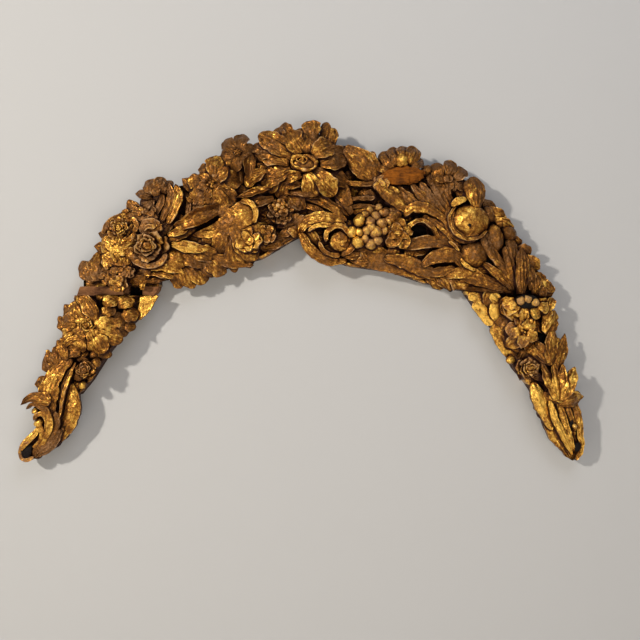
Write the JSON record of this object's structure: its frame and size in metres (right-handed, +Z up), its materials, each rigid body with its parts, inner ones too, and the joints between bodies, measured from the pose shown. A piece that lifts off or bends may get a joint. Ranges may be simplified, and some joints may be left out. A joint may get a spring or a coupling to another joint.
{
  "type": "carved garland fragment",
  "caption": "Arched carved wooden garland of flowers, leaves, fruit and berries with a flat back, made to hang on a wall as an upside-down U.",
  "frame": {"origin": "on the crown's flat back, behind the lower half of the great flower at the middle", "axes": "+X to the right as seen from the front, +Z up, +Y into the wall, the carving faces -Y"},
  "size_m": [1.2117, 0.096, 0.7382],
  "materials": {
    "gilded_wood": "worn gold leaf over red clay and chalk ground, with dark dirt in the hollows"
  },
  "bodies": {
    "root": {"crown": "gilded_wood", "left_leg": "gilded_wood", "right_leg": "gilded_wood"}
  },
  "joints": []
}
